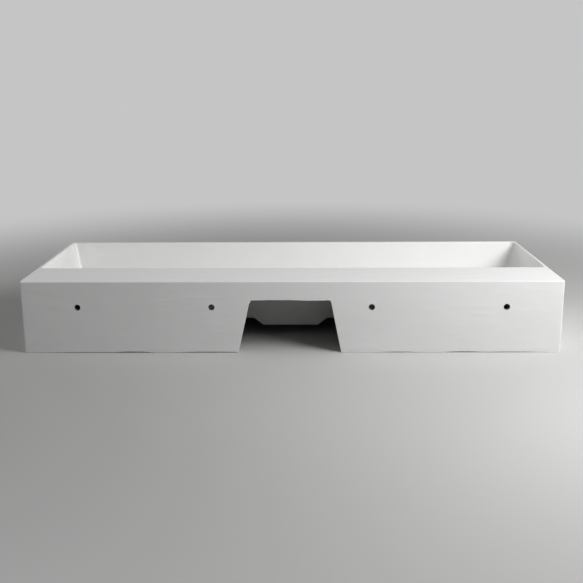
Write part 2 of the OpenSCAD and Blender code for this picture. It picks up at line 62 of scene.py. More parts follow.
# Camera: the photograph looks at the wall face, a little from above
cameraView = {
    "place": (-0.0226, 2.1886, 0.6125),
    "turn": -0.660,      # degrees from straight towards the front
    "down": 13.613,
    "roll": 0.268,
    "lens": 56.24,
    "sensor": 36.0,
    "farthest": 60.0,
}


def makeCamera():
    view = cameraView
    turn, down, roll = (radians(view[key]) for key in ("turn", "down", "roll"))
    camera = bpy.data.cameras.new("camera")
    camera.lens = view["lens"]
    camera.sensor_width = view["sensor"]
    camera.clip_end = view["farthest"]
    holder = addObject("camera", camera)
    ahead = Vector((-sin(turn) * cos(down), -cos(turn) * cos(down),
                    -sin(down)))
    level = Vector((-cos(turn), sin(turn), 0))
    below = ahead.cross(level)
    right = cos(roll) * level + sin(roll) * below
    up = sin(roll) * level - cos(roll) * below
    holder.matrix_world = Matrix((
        *([right[axis], up[axis], -ahead[axis], view["place"][axis]] for axis in range(3)),
        (0, 0, 0, 1)))
    bpy.context.scene.camera = holder


makeCamera()
print("camera set")


# Shader sums: a Wire is one socket, and numbers may stand on either side of a sign
class Wire:
    def __init__(self, finish, socket):
        self.finish = finish
        self.socket = socket

    def math(self, operation, *values):
        return self.finish.node("ShaderNodeMath", {"operation": operation}, dict(enumerate(values)))

    def __add__(self, other):
        return self.math("ADD", self, other)

    def __sub__(self, other):
        return self.math("SUBTRACT", self, other)

    def __rsub__(self, other):
        return self.math("SUBTRACT", other, self)

    def __mul__(self, other):
        return self.math("MULTIPLY", self, other)

    def __truediv__(self, other):
        return self.math("DIVIDE", self, other)

    def __rtruediv__(self, other):
        return self.math("DIVIDE", other, self)

    __radd__ = __add__
    __rmul__ = __mul__

    def ramp(self, low, high):
        return self.finish.node("ShaderNodeMapRange", {"interpolation_type": "SMOOTHSTEP"},
                                {0: self, 1: low, 2: high})


class Finish:
    def __init__(self, name, constants):
        self.material = bpy.data.materials.new(name)
        self.material.use_nodes = True
        self.tree = self.material.node_tree
        self.shader = self.tree.nodes["Principled BSDF"]
        self.plug(self.shader, constants)
        self.material.diffuse_color = constants["Base Color"]

    def plug(self, node, values):
        for key, value in values.items():
            if isinstance(value, Wire):
                self.tree.links.new(value.socket, node.inputs[key])
            else:
                node.inputs[key].default_value = value

    def node(self, kind, settings, values, output=0):
        made = self.tree.nodes.new(kind)
        for key, value in settings.items():
            setattr(made, key, value)
        self.plug(made, values)
        return Wire(self, made.outputs[output])

    def place(self):
        return self.node("ShaderNodeTexCoord", {}, {}, "Object")

    def parts(self, vector):
        split = self.node("ShaderNodeSeparateXYZ", {}, {0: vector})
        return [Wire(self, socket) for socket in split.socket.node.outputs]

    def noise(self, vector, size, detail=2.0, stretch=(1, 1, 1)):
        laid = self.node("ShaderNodeVectorMath", {"operation": "MULTIPLY"}, {0: vector, 1: stretch})
        return self.node("ShaderNodeTexNoise", {},
                         {"Vector": laid, "Scale": 1 / size, "Detail": detail, "Roughness": 0.5})

    def mix(self, share, first, second):
        return self.node("ShaderNodeMix", {"data_type": "RGBA"}, {0: share, 6: first, 7: second}, 2)

    def relief(self, height):
        bump = self.node("ShaderNodeBump", {}, {"Height": height, "Distance": 1.0, "Strength": 1.0})
        self.plug(self.shader, {"Normal": bump})


def shade(red, green, blue):
    return (red, green, blue, 1.0)


# Finishes: sizes and heights of the relief are in metres
glazeLook = {
    "white": shade(0.88, 0.88, 0.874),
    "cloud": shade(0.855, 0.857, 0.85),
    # painted highlight: the lighter colour laid along the glaze ridges
    "ridgeSheen": shade(0.93, 0.93, 0.925),
    "cloudSize": 0.09,
    "cloudShare": 0.7,
    "polish": 0.12,
    "dull": 0.18,
    "bending": 1.52,         # index of refraction
    "peelSize": 0.0042,
    "peelHeight": 0.000012,
    "waveSize": 0.035,
    "waveHeight": 0.00016,
    "runSize": 0.05,
    "runHeight": 0.00022,
    "runFolds": 4.0,
    "ridgeHeight": 0.00012,
    "ridgeSheenShare": 0.6,
    "ridgeBend": 2.5,
    "ridgeBendSize": 0.07,
    "wallFace": (0.236, 0.238),
    "ridges": (              # on the wall face: start and end (x, z), width, share
        ((0.330, 0.1170), (0.100, 0.1345), 0.0024, 1.0),
        ((0.235, 0.1260), (0.120, 0.1295), 0.0030, 0.5),
        ((-0.500, 0.1500), (-0.580, 0.1410), 0.0050, 0.5),
        ((0.260, 0.0860), (0.130, 0.0900), 0.0060, 0.25),
        ((-0.240, 0.1500), (-0.420, 0.1480), 0.0030, 0.35),
    ),
}


def glazeRidge(finish, place, start, end, width, share):
    # One ridge where the glaze ran: it bends a little, and fades at both ends
    look = glazeLook
    x, y, z = finish.parts(place)
    along = (x - start[0]) / (end[0] - start[0])
    bend = (finish.noise(place, look["ridgeBendSize"], 1.0) - 0.5) * look["ridgeBend"] * width
    off = finish.node("ShaderNodeMath", {"operation": "ABSOLUTE"},
                      {0: z - start[1] - along * (end[1] - start[1]) - bend})
    ends = along.ramp(0.0, 0.12) * (1 - along.ramp(0.6, 1.0))
    return (1 - off.ramp(0.0, width)) * ends * y.ramp(*look["wallFace"]) * share


def glazeFinish():
    look = glazeLook
    finish = Finish("whiteGlaze", {"Base Color": look["white"], "Roughness": look["polish"],
                                   "IOR": look["bending"]})
    place = finish.place()
    cloud = finish.noise(place, look["cloudSize"], 3.0).ramp(0.42, 0.68)
    peel = finish.noise(place, look["peelSize"], 1.0)
    wave = finish.noise(place, look["waveSize"], 1.0)
    run = finish.noise(place, look["runSize"], 2.0, (0.35, 1.0, 1.6))
    folded = finish.node("ShaderNodeMath", {"operation": "PINGPONG"},
                         {0: run * look["runFolds"], 1: 1.0})
    runs = folded.ramp(0.0, 1.0)
    ridges = 0
    for ridge in look["ridges"]:
        ridges = glazeRidge(finish, place, *ridge) + ridges
    skin = finish.mix(cloud * look["cloudShare"], look["white"], look["cloud"])
    finish.plug(finish.shader, {
        # the ridges are also painted lighter than the glaze around them: a painted highlight along each
        # ridge
        "Base Color": finish.mix(ridges * look["ridgeSheenShare"], skin, look["ridgeSheen"]),
        "Roughness": look["polish"] + cloud * (look["dull"] - look["polish"]),
    })
    height = peel * look["peelHeight"] + wave * look["waveHeight"] + runs * look["runHeight"]
    finish.relief(height + ridges * look["ridgeHeight"])
    return finish.material


thinGlazeLook = {
    "skin": shade(0.845, 0.842, 0.83),
    "bisque": shade(0.76, 0.73, 0.66),
    "polish": 0.28,
    "average": 0.35,
    "rough": 0.6,            # how much duller the bare clay is
    "patchSize": 0.045,
    "patchShare": 0.35,
    "grainSize": 0.0016,
    "grainHeight": 0.00005,
    "footLine": 0.0016,      # the foot was wiped bare up to about here
    "footWaver": 0.002,
}


def thinGlazeFinish():
    look = thinGlazeLook
    finish = Finish("thinGlaze", {"Base Color": look["skin"], "Roughness": look["average"],
                                  "IOR": 1.5})
    place = finish.place()
    height = finish.parts(place)[2]
    patch = finish.noise(place, look["patchSize"], 4.0).ramp(0.5, 0.72)
    grain = finish.noise(place, look["grainSize"], 2.0)
    edge = height + patch * look["footWaver"]
    foot = 1.0 - edge.ramp(look["footLine"], look["footLine"] * 2)
    bare = 1.0 - (1.0 - foot) * (1.0 - patch * look["patchShare"])
    finish.plug(finish.shader, {
        "Base Color": finish.mix(bare, look["skin"], look["bisque"]),
        "Roughness": look["polish"] + bare * look["rough"],
    })
    finish.relief(grain * look["grainHeight"] * (0.3 + bare))
    return finish.material


# Plain finishes: clouds of a second colour, and a fine grain
plainKinds = {       # metallic, the clouds' size, detail and ramp, the grain's detail and stretch
    "plated": (1.0, 0.012, 4.0, (0.45, 0.75), 3.0, (1, 1, 1)),
    "moulded": (0.0, 0.006, 3.0, (0.4, 0.75), 3.0, (1, 1, 1)),
    "turned": (1.0, 0.009, 4.0, (0.42, 0.7), 2.0, (0.2, 0.2, 3.0)),
}
plainLooks = {       # kind, colour, second colour, roughness and what is added, grain's size and height
    "chromePlate": ("plated", (0.66, 0.665, 0.675), (0.58, 0.585, 0.6), 0.07, 0.13, 0.0008, 0.0000018),
    # the bore is unglazed, but its colour is far darker than bare bisque: painted shade inside the fixing
    # holes
    "bareBorePaintedShade": ("moulded", (0.4, 0.385, 0.36), (0.28, 0.265, 0.24), 0.85, 0.12, 0.0007, 0.00004),
    "sealRubber": ("moulded", (0.035, 0.035, 0.036), (0.06, 0.06, 0.06), 0.55, 0.12, 0.0007, 0.00002),
    "whitePlastic": ("moulded", (0.78, 0.78, 0.76), (0.72, 0.72, 0.7), 0.38, 0.12, 0.0007, 0.000006),
    "ivoryPlastic": ("moulded", (0.78, 0.74, 0.62), (0.72, 0.67, 0.54), 0.36, 0.12, 0.0007, 0.000006),
    "turnedBrass": ("turned", (0.76, 0.58, 0.3), (0.5, 0.36, 0.18), 0.26, 0.16, 0.0009, 0.000004),
    "springSteel": ("turned", (0.6, 0.6, 0.61), (0.42, 0.41, 0.4), 0.24, 0.16, 0.0006, 0.000004),
}


def plainFinish(name, kind, first, second, roughness, dulling, grainSize, grainHeight):
    metallic, cloudSize, cloudDetail, cloudRamp, grainDetail, stretch = plainKinds[kind]
    first, second = shade(*first), shade(*second)
    finish = Finish(name, {"Base Color": first, "Metallic": metallic, "Roughness": roughness})
    place = finish.place()
    cloud = finish.noise(place, cloudSize, cloudDetail).ramp(*cloudRamp)
    grain = finish.noise(place, grainSize, grainDetail, stretch)
    duller = grain if kind == "turned" else cloud
    finish.plug(finish.shader, {
        "Base Color": finish.mix(cloud, first, second),
        "Roughness": roughness + duller * dulling,
    })
    finish.relief(grain * grainHeight)
    return finish.material


finishes = {"whiteGlaze": glazeFinish(), "thinGlaze": thinGlazeFinish()}
finishes.update({name: plainFinish(name, *look) for name, look in plainLooks.items()})
print("finishes made:", len(finishes))


# Mesh helpers: all points are in millimetres until the mesh is made
def smoothStep(value, low, high):
    share = np.clip((value - low) / (high - low), 0, 1)
    return share * share * (3 - 2 * share)


def lengths(vectors):
    return np.linalg.norm(vectors, axis=-1, keepdims=True)


def flat(points, z):
    return np.column_stack([points, np.broadcast_to(z, len(points))])


def roundedPath(corners, radii, arcSteps, spanSteps, closed=True):
    # Rounds each corner of a path with a soft arc and divides the straight stretches between;
    # a corner is a row of points, one for each column of the mesh
    count = len(corners)
    starts, ends = [], []
    for index, here in enumerate(corners):
        before = corners[index - 1] - here
        after = corners[(index + 1) % count] - here
        longBefore, longAfter = lengths(before), lengths(after)
        before, after = before / longBefore, after / longAfter
        cosine = np.clip((before * after).sum(axis=1, keepdims=True), -1, 1)
        reach = radii[index] / np.tan(np.arccos(cosine) / 2 + 1e-9)
        reach = np.minimum(reach, 0.48 * np.minimum(longBefore, longAfter))
        starts.append(here + before * reach)
        ends.append(here + after * reach)
    loops = []
    for index, here in enumerate(corners):
        steps = arcSteps[index] if radii[index] else 0
        for step in range(steps + 1):
            t = step / max(steps, 1)
            loops.append((1 - t) ** 2 * starts[index] + 2 * t * (1 - t) * here + t * t * ends[index])
        if not closed and index == count - 1:
            break
        following = starts[(index + 1) % count]
        for step in range(1, spanSteps[index]):
            loops.append(ends[index] + (following - ends[index]) * step / spanSteps[index])
    return loops


def bandMarks(radii, arcSteps, spanSteps, kinds):
    # The material of each band of a rounded path, in the same order as its loops
    marks = []
    for radius, arc, span, kind in zip(radii, arcSteps, spanSteps, kinds):
        marks += [kind] * ((arc if radius else 0) + span)
    return marks


def loftMesh(name, loops, closed=False, marks=None):
    # Joins rings of points into a closed skin; an open row of rings gets a cap at each end
    columns = len(loops[0])
    rings = len(loops) if closed else len(loops) - 1
    faces, kinds = [], []
    for ring in range(rings):
        low = ring * columns
        high = (ring + 1) % len(loops) * columns
        for column in range(columns):
            other = (column + 1) % columns
            faces.append((low + column, low + other, high + other, high + column))
            kinds.append(marks[ring] if marks else 0)
    mesh = bpy.data.meshes.new(name)
    mesh.from_pydata((np.concatenate(loops) * mm).tolist(), [], faces)
    mesh.polygons.foreach_set("material_index", kinds)
    work = bmesh.new()
    work.from_mesh(mesh)
    if not closed:
        bmesh.ops.remove_doubles(work, verts=work.verts, dist=1e-7)
        bmesh.ops.holes_fill(work, edges=[edge for edge in work.edges if edge.is_boundary], sides=0)
    bmesh.ops.recalc_face_normals(work, faces=work.faces)
    work.to_mesh(mesh)
    work.free()
    return addObject(name, mesh)


def combine(piece, others, operation):
    # Cuts the others from the piece or joins them to it, and uses them up
    for other in others:
        step = piece.modifiers.new("combine", "BOOLEAN")
        step.operation = operation
        step.solver = "MANIFOLD"
        step.object = other
    bpy.context.view_layer.update()
    made = piece.evaluated_get(bpy.context.evaluated_depsgraph_get())
    mesh = bpy.data.meshes.new_from_object(made)
    mesh.name = piece.name
    piece.modifiers.clear()
    piece.data = mesh
    for other in others:
        bpy.data.objects.remove(other)


def outline(points, radii, spans=1):
    # A closed flat outline with rounded corners
    corners = [np.array([point], float) for point in points]
    count = len(points)
    return np.concatenate(roundedPath(corners, radii, [6] * count, [spans] * count))


def upright(x, ring):
    # A flat ring of (y, z) stood up at an x
    return np.column_stack([np.full(len(ring), x), ring])


def coat(piece, names, index=None):
    # Adds finishes, and gives the whole piece the one at the index
    for name in names:
        piece.data.materials.append(finishes[name])
    if index is not None:
        piece.data.polygons.foreach_set("material_index", [index] * len(piece.data.polygons))


def dress(piece, node, names=(), body="washbasin", sharpAngle=32):
    # The finishes, smooth shading that keeps hard edges, and what the piece stands for
    mesh = piece.data
    coat(piece, names)
    mesh.polygons.foreach_set("use_smooth", [True] * len(mesh.polygons))
    mesh.set_sharp_from_angle(angle=radians(sharpAngle))
    even = piece.modifiers.new("evenNormals", "WEIGHTED_NORMAL")
    even.keep_sharp = True
    if body:
        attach(piece, body)
    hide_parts(node)
    print(piece.name, "made:", len(mesh.polygons), "faces")


# Basin: sizes in millimetres
basinLow, basinHigh = (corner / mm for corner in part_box("basin"))
wasteLow, wasteHigh = (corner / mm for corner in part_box("waste_body"))
basinSizes = {
    "halfWidth": basinHigh.x,
    "front": basinLow.y,
    "wall": basinHigh.y,
    "height": basinHigh.z,
    "draft": 0.4,            # lean of the sides and the front, in degrees
    "frontCorner": 7.0,
    "wallCorner": 3.5,
    "topEdge": 1.7,
    "footEdge": 0.9,
    "skirt": 12.0,
    "back": 15.0,
    "deck": 14.0,
    "sideRim": 7.4,
    "frontRim": 9.5,
    "deckDepth": 147.0,
    "taper": 9.5,            # lean of the bowl's walls, in degrees
    "bowlEdge": 2.5,
    "bowlCorner": 11.0,
    "floorCorner": 16.0,
    "floorFillet": 28.0,
    "floorEdge": 58.0,
    "floorAtWaste": 53.0,
    "wasteY": (wasteLow.y + wasteHigh.y) / 2,
    "recessRadius": 34.5,
    "recessDepth": 3.2,
    "seatAngle": 18.0,
    "wasteRadius": 23.0,
    "shell": 12.0,
    "under": 38.5,
    "underFillet": 7.0,
    "hollowFillet": 10.0,
    "groove": 3.0,           # the least width of the groove between the bowl and the skirt
    "grooveRise": 6.0,
    "bossLow": 25.0,
    "bossHalf": 65.5,
    "bossTopHalf": 86.0,
    "bossDrop": 3.0,         # how much lower its rear edge hangs
    "bossShift": 4.0,        # how far the casting's boss sits to one side
    "bossCorner": 110,       # how sharp its rear corners are
    "ductWall": 17.0,
    "warp": 0.34,            # how far the long faces sink in the firing
    "ripple": 0.05,
    "footGaps": (            # under the wall face: middle, half width, height
        (351, 34, 1.9), (450, 90, 0.9), (181, 60, 1.5),
        (-240, 34, 1.2), (-386, 34, 1.6), (-490, 60, 1.1)),
}
meshSteps = {
    "along": 132,            # columns along the front and along the wall
    "across": 34,            # columns along each side
    "frontTurn": (2, 8, 2),
    "wallTurn": (8, 8, 6, 2),
}
s = basinSizes
taperRate, draftRate, seatRate = (
    tan(radians(s[key])) for key in ("taper", "draft", "seatAngle"))
taperCosine = cos(radians(s["taper"]))
shellFlat = s["shell"] / taperCosine
bulgeFlat = s["ductWall"] / taperCosine
bowlX = s["halfWidth"] - s["sideRim"]
bowlFront = s["front"] + s["frontRim"]
bowlRear = s["wall"] - s["deckDepth"]
wallInner = s["wall"] - s["back"]
ceiling = s["height"] - s["deck"]
anchorX = bowlX - s["bowlCorner"]
anchorFront = bowlFront + s["bowlCorner"]
anchorRear = bowlRear - s["bowlCorner"]
splitAngle = 70.0        # where the groove beside the bowl opens into the space behind it
splitY = anchorRear + (s["bowlCorner"] + shellFlat) * sin(radians(splitAngle))


def middles(count):
    return (np.arange(count) + 0.5) / count


def crowded(count, focus, width, gain):
    # Shares from 0 to 1 along a side, closer together at a distance from its middle
    fine = np.linspace(0, 1, 2001)
    density = 1 + gain * np.exp(-((np.abs(fine - 0.5) - focus) / width) ** 2)
    total = np.concatenate([[0], np.cumsum((density[1:] + density[:-1]) / 2)])
    return np.interp(np.linspace(0, 1, count + 1)[:-1], total / total[-1], fine)


alongShares = crowded(meshSteps["along"], 0.073, 0.02, 5.0)
acrossShares = crowded(meshSteps["across"], 0.5, 0.1, 1.0)


def side(start, end, shares):
    start, end = np.array(start, float), np.array(end, float)
    return start + (end - start) * shares[:, None]


def turnArc(middle, radius, degrees):
    angles = np.radians(degrees)
    return np.array(middle) + radius * np.column_stack([np.cos(angles), np.sin(angles)])


def ringAround(front, frontCorner, right, rearCorner, rear):
    # The same columns at every level, from the front's left end by the right
    mirror = (-1, 1)
    return np.concatenate([front, frontCorner, right, rearCorner, rear, rearCorner[::-1] * mirror,
                           right[::-1] * mirror, frontCorner[::-1] * mirror])


def bowlOutline(inset, radius):
    # An outline of the bowl, inset from its edge at the rim
    x, low, high = bowlX - inset, bowlFront + inset, bowlRear - inset
    nearX, nearLow, nearHigh = x - radius, low + radius, high - radius
    firstTurn, *laterTurns = meshSteps["wallTurn"]
    rearAngles = np.concatenate([splitAngle * middles(firstTurn),
                                 splitAngle + (90 - splitAngle) * middles(sum(laterTurns))])
    return ringAround(
        side((-nearX, low), (nearX, low), alongShares),
        turnArc((nearX, nearLow), radius, 90 * middles(sum(meshSteps["frontTurn"])) - 90),
        side((x, nearLow), (x, nearHigh), acrossShares),
        turnArc((nearX, nearHigh), radius, rearAngles),
        side((nearX, high), (-nearX, high), alongShares))


def bodyOutline(x, front, rear, frontRadius, rearRadius):
    # An outline of the outside or of the hollow, whose columns face those of the bowl
    alongFront, roundFront, alongSide = (middles(count) for count in meshSteps["frontTurn"])
    byBowl, behindBowl, roundWall, alongWall = (middles(count) for count in meshSteps["wallTurn"])
    frontCorner = np.concatenate([
        side((anchorX, front), (x - frontRadius, front), alongFront),
        turnArc((x - frontRadius, front + frontRadius), frontRadius, 90 * roundFront - 90),
        side((x, front + frontRadius), (x, anchorFront), alongSide)])
    rearCorner = np.concatenate([
        side((x, anchorRear), (x, splitY), byBowl),
        side((x, splitY), (x, rear - rearRadius), behindBowl),
        turnArc((x - rearRadius, rear - rearRadius), rearRadius, 90 * roundWall),
        side((x - rearRadius, rear), (anchorX, rear), alongWall)])
    return ringAround(
        side((-anchorX, front), (anchorX, front), alongShares),
        frontCorner,
        side((x, anchorFront), (x, anchorRear), acrossShares),
        rearCorner,
        side((anchorX, rear), (-anchorX, rear), alongShares))


def wallInset(z):
    return (s["height"] - z) * taperRate


def outside(z):
    lean = (s["height"] - z) * draftRate
    return bodyOutline(s["halfWidth"] - lean, s["front"] + lean, s["wall"],
                       s["frontCorner"], s["wallCorner"])


def hollow(z):
    lean = (s["height"] - z) * draftRate
    return bodyOutline(s["halfWidth"] - s["skirt"] - lean, s["front"] + s["skirt"] + lean,
                       wallInner, s["frontCorner"], s["frontCorner"])


def rayTo(points):
    aim = points - (0, s["wasteY"])
    return aim / lengths(aim)


def circleAt(aim, radius):
    return aim * radius + (0, s["wasteY"])


def bossOutline(aim, half, rearY):
    # Where rays from the waste's axis leave the boss: round in front, straight sides, flat at the rear
    ahead = aim[:, 1] <= 0
    half = half + s["bossShift"] * np.clip(2.5 * aim[:, 0], -1, 1)
    beside = np.where(ahead, half, half / np.maximum(np.abs(aim[:, 0]), 1e-6))
    behind = (rearY - s["wasteY"]) / np.maximum(aim[:, 1], 1e-6)
    power = s["bossCorner"]
    reach = (beside ** -power + behind ** -power) ** (-1 / power)
    return circleAt(aim, np.where(ahead, half, reach)[:, None])


def bossFootOutline(top, topY, rearY):
    # The boss narrows towards its foot, and its rear corners run down in a straight line
    share = s["bossHalf"] / s["bossTopHalf"]
    x, y = top[:, 0] - s["bossShift"], top[:, 1] - s["wasteY"]
    behind = (rearY - s["wasteY"]) / (topY - s["wasteY"])
    return np.column_stack([s["bossShift"] + share * x,
                            s["wasteY"] + y * np.where(y > 0, behind, share)])


def footLift(points):
    # The foot isn't quite flat: it leaves a few thin gaps on the floor
    atWall = smoothStep(points[:, 1], 150, 215)
    lift = 0.12 + 0.12 * np.sin(points[:, 0] / 83 + points[:, 1] / 47)
    for x, width, height in s["footGaps"]:
        lift = lift + atWall * height * np.exp(-((points[:, 0] - x) / width) ** 4)
    return lift


def shellLevels():
    # The outside of the bowl at its underside and at the rim, with the thicker wall at the duct
    low = bowlOutline(wallInset(s["under"]) - shellFlat, s["floorCorner"] + s["shell"])
    high = bowlOutline(-shellFlat, s["bowlCorner"] + shellFlat)
    atDuct = 1 - smoothStep(np.abs(low[:, 0]), 2 * s["bossTopHalf"], 3 * s["bossTopHalf"])
    thicker = atDuct * (low[:, 1] > 0) * (bulgeFlat - shellFlat)
    low[:, 1] += thicker
    high[:, 1] += thicker
    return flat(low, s["under"]), flat(high, s["height"])


def hollowTop(shellLow, shellHigh):
    # Each column of the hollow rises to the deck, or to where the bowl comes close to the skirt
    room = np.full(len(shellLow), ceiling)
    step = 0.5
    for z in np.arange(ceiling, s["under"], -step):
        here = shellLow + (shellHigh - shellLow) * (z - s["under"]) / (s["height"] - s["under"])
        inner = s["skirt"] + (s["height"] - z) * draftRate
        gap = np.minimum(s["halfWidth"] - inner - np.abs(here[:, 0]),
                         here[:, 1] - s["front"] - inner)
        room = np.where((gap < s["groove"]) & (room >= z), z - step, room)
    room = np.maximum(room, s["under"] + s["grooveRise"])
    share = ((room - s["under"]) / (s["height"] - s["under"]))[:, None]
    inside = shellLow + (shellHigh - shellLow) * share
    skirt = flat(hollow(ceiling), room)
    beside = (room < ceiling) & (inside[:, 1] > anchorRear)
    skirt[:, 1] = np.where(beside, inside[:, 1] + 0.5, skirt[:, 1])
    return inside, skirt


def ripple(points, waves):
    total = sum(np.sin(points @ np.array(wave) + turn) for turn, wave in enumerate(waves))
    return 0.5 + 0.5 * total / len(waves)


def sunken(loops):
    # Firing pulls the long faces in a little, and the glaze lies on them in low waves
    points = np.array(loops)
    along = np.roll(points, -1, axis=1) - np.roll(points, 1, axis=1)
    over = np.roll(points, -1, axis=0) - np.roll(points, 1, axis=0)
    out = np.cross(over, along)
    out /= np.maximum(lengths(out), 1e-9)
    deckRing = points[:, :, 2].mean(axis=1).argmax()
    out *= np.sign(out[deckRing, :, 2].sum())
    fromWaste = np.hypot(points[:, :, 0], points[:, :, 1] - s["wasteY"])
    slow = ripple(points, ((0.008, 0.004, 0.02), (0.013, -0.011, 0.008), (-0.005, 0.017, 0.03)))
    quick = ripple(points, ((0.055, 0.02, 0.04), (-0.03, 0.06, 0.05), (0.02, 0.045, -0.07)))
    depth = (s["warp"] * slow + s["ripple"] * quick) * smoothStep(fromWaste, 40, 90)
    depth *= smoothStep(points[:, :, 2], 0, 12)
    return list(points - out * depth[:, :, None])


def basinBody():
    floorLoop = bowlOutline(wallInset(s["floorEdge"]), s["floorCorner"])
    shellLow, shellHigh = shellLevels()
    shellTop, skirtTop = hollowTop(shellLow, shellHigh)
    aim = rayTo(floorLoop)
    hole = circleAt(aim, s["wasteRadius"])
    recess = circleAt(aim, s["recessRadius"])
    seatTop = s["floorAtWaste"] - s["recessDepth"]
    seatLow = seatTop - (s["recessRadius"] - s["wasteRadius"]) * seatRate

    # the boss meets the rear wall of the bowl below the duct, and there the wall starts above it
    aimUnder = rayTo(shellLow[:, :2])
    bossRear = bowlRear - wallInset(s["under"]) + bulgeFlat
    bossTop = bossOutline(aimUnder, s["bossTopHalf"], bossRear + 1)
    bossLow = bossFootOutline(bossTop, bossRear + 1, bossRear)
    bossFoot = s["bossLow"] - s["bossDrop"] * smoothStep(bossLow[:, 1], -20, 80)
    besideRear = smoothStep(np.abs(bossTop[:, 0]), s["bossTopHalf"] - 22, s["bossTopHalf"] - 8)
    apart = np.where(bossTop[:, 1] > bossRear - 12, besideRear, 1)
    shellStart = shellLow + (shellHigh - shellLow) * (1 - apart)[:, None] * 0.12

    footOut, footIn = outside(0), hollow(0)
    rows = (   # points, rounding, steps of the rounding, steps to the next row, finish
        (flat(footOut, footLift(footOut)), s["footEdge"], 3, 12, 0),
        (flat(outside(s["height"]), s["height"]), s["topEdge"], 6, 10, 0),
        (flat(bowlOutline(0, s["bowlCorner"]), s["height"]), s["bowlEdge"], 6, 8, 0),
        (flat(floorLoop, s["floorEdge"]), s["floorFillet"], 10, 14, 0),
        (flat(recess, s["floorAtWaste"]), 1.4, 4, 1, 0),
        (flat(recess, seatTop), 0.9, 3, 3, 0),
        (flat(hole, seatLow), 1.2, 3, 4, 1),
        (flat(hole, s["bossLow"]), 1.5, 3, 4, 1),
        (flat(bossLow, bossFoot), 2.5, 4, 6, 1),
        (flat(bossTop, s["under"]), 5.0, 5, 6, 1),
        (shellStart, s["underFillet"], 6, 6, 1),
        (shellTop, s["hollowFillet"], 5, 6, 1),
        (skirtTop, s["hollowFillet"], 5, 8, 1),
        (flat(footIn, footLift(footIn)), s["footEdge"], 3, 2, 1))
    corners, radii, arcs, spans, kinds = zip(*rows)
    loops = sunken(roundedPath(corners, radii, arcs, spans))
    return loftMesh("basin_ceramic", loops, True, bandMarks(radii, arcs, spans, kinds))


# What is cut from the basin and joined to it
openingSizes = {
    "cutoutX": 3.0,               # the cut was made a little to one side
    "cutoutSkew": 1.4,
    "cutoutStep": 1.0,            # its top edge steps down towards -X
    "cutoutHalf": 114.8,
    "cutoutTopHalf": 89.4,
    "cutoutHeight": 120.2,
    "cutoutCorners": (8.0, 5.5),  # towards +X and towards -X
    "cutoutEdge": 1.4,
    "cutoutWaver": 0.3,
    "fixingRadius": 6.9,
    "fixingZ": 104.5,
    "fixingX": (-475.0, -177.5, 177.5, 475.0),
    "fixingEdge": 0.6,
    "overflowRadius": 13.0,
    "overflowEdge": 1.2,
    "overflowZ": 124.0,
    "ductHalf": 30.0,
    "ductSkin": 5.5,
    "ductDepth": 6.0,
    "ductFloor": 32.0,
    "ductHeight": 9.0,
    "ductTop": 142.0,
    "webX": 330.0,
    "webHalf": 6.0,
    "webFoot": 46.0,
    "webArch": 45.0,
    "webSunk": 5.0,
    "bead": (1.2, -1.9, -4.6),    # from the upper corner of the cut-out, on the wall face
    "beadRadii": (2.7, 1.8, 2.0),
}
o = openingSizes


def rearFace(z):
    return bowlRear - wallInset(z)


def flare(radius):
    # Depth below a face and growth of a hole there, from outside inwards, for a rounded edge
    curve = ((-0.45, 2.581), (0.15, 0.473), (0.4, 0.2), (0.7, 0.046), (1.0, 0.0))
    return [(radius * depth, radius * growth) for depth, growth in curve]


def throughWall(name, radius, ringAt):
    # A cutter through the wall face whose both ends widen into rounded edges
    stations = [(s["wall"] - depth, growth) for depth, growth in flare(radius)]
    stations += [(wallInner + depth, growth) for depth, growth in reversed(flare(radius))]
    loops = []
    for y, growth in stations:
        ring = ringAt(growth)
        loops.append(np.column_stack([ring[:, 0], np.full(len(ring), y), ring[:, 1]]))
    return loftMesh(name, loops)


def cutoutRing(growth):
    lean = (o["cutoutHalf"] - o["cutoutTopHalf"]) / o["cutoutHeight"]
    below = -6.0
    wide = growth * hypot(1, lean)
    low = o["cutoutHalf"] - lean * below + wide
    high = o["cutoutTopHalf"] - lean * growth + wide
    top = o["cutoutHeight"] + growth
    right, left = (radius + growth for radius in o["cutoutCorners"])
    skew = o["cutoutSkew"]
    ring = outline([(skew - low, below), (skew + low, below), (high, top), (-high, top)],
                   [0, 0, right, left], spans=24)
    ring[:, 0] += o["cutoutX"]
    atTop = smoothStep(ring[:, 1], top - 12, top)
    waver = np.sin(ring[:, 0] / 19) + 0.5 * np.sin(ring[:, 0] / 7 + 1)
    stepped = smoothStep(-ring[:, 0], 14, 34)
    ring[:, 1] += atTop * (o["cutoutWaver"] * waver - o["cutoutStep"] * stepped)
    return ring


def fixingRing(x):
    def ringAt(growth):
        angles = 2 * pi * np.arange(40) / 40
        uneven = 1 + 0.16 * np.sin(3 * angles + x) + 0.1 * np.sin(7 * angles)
        radius = o["fixingRadius"] + growth * uneven
        return np.column_stack([x + radius * np.cos(angles),
                                o["fixingZ"] + radius * np.sin(angles)])
    return ringAt


def overflowPlace():
    spot = Vector((0, rearFace(o["overflowZ"]), o["overflowZ"])) * mm
    return Matrix.Translation(spot) @ Matrix.Rotation(radians(90 - s["taper"]), 4, "X")


def overflowCutter():
    depth = -o["ductSkin"] - o["ductDepth"] / 2
    levels = [(-below, growth) for below, growth in flare(o["overflowEdge"])] + [(depth, 0.0)]
    loops = [flat(turnArc((0, 0), o["overflowRadius"] + growth, 360 * middles(48)), z)
             for z, growth in levels]
    cutter = loftMesh("overflowCutter", loops)
    cutter.data.transform(overflowPlace())
    return cutter


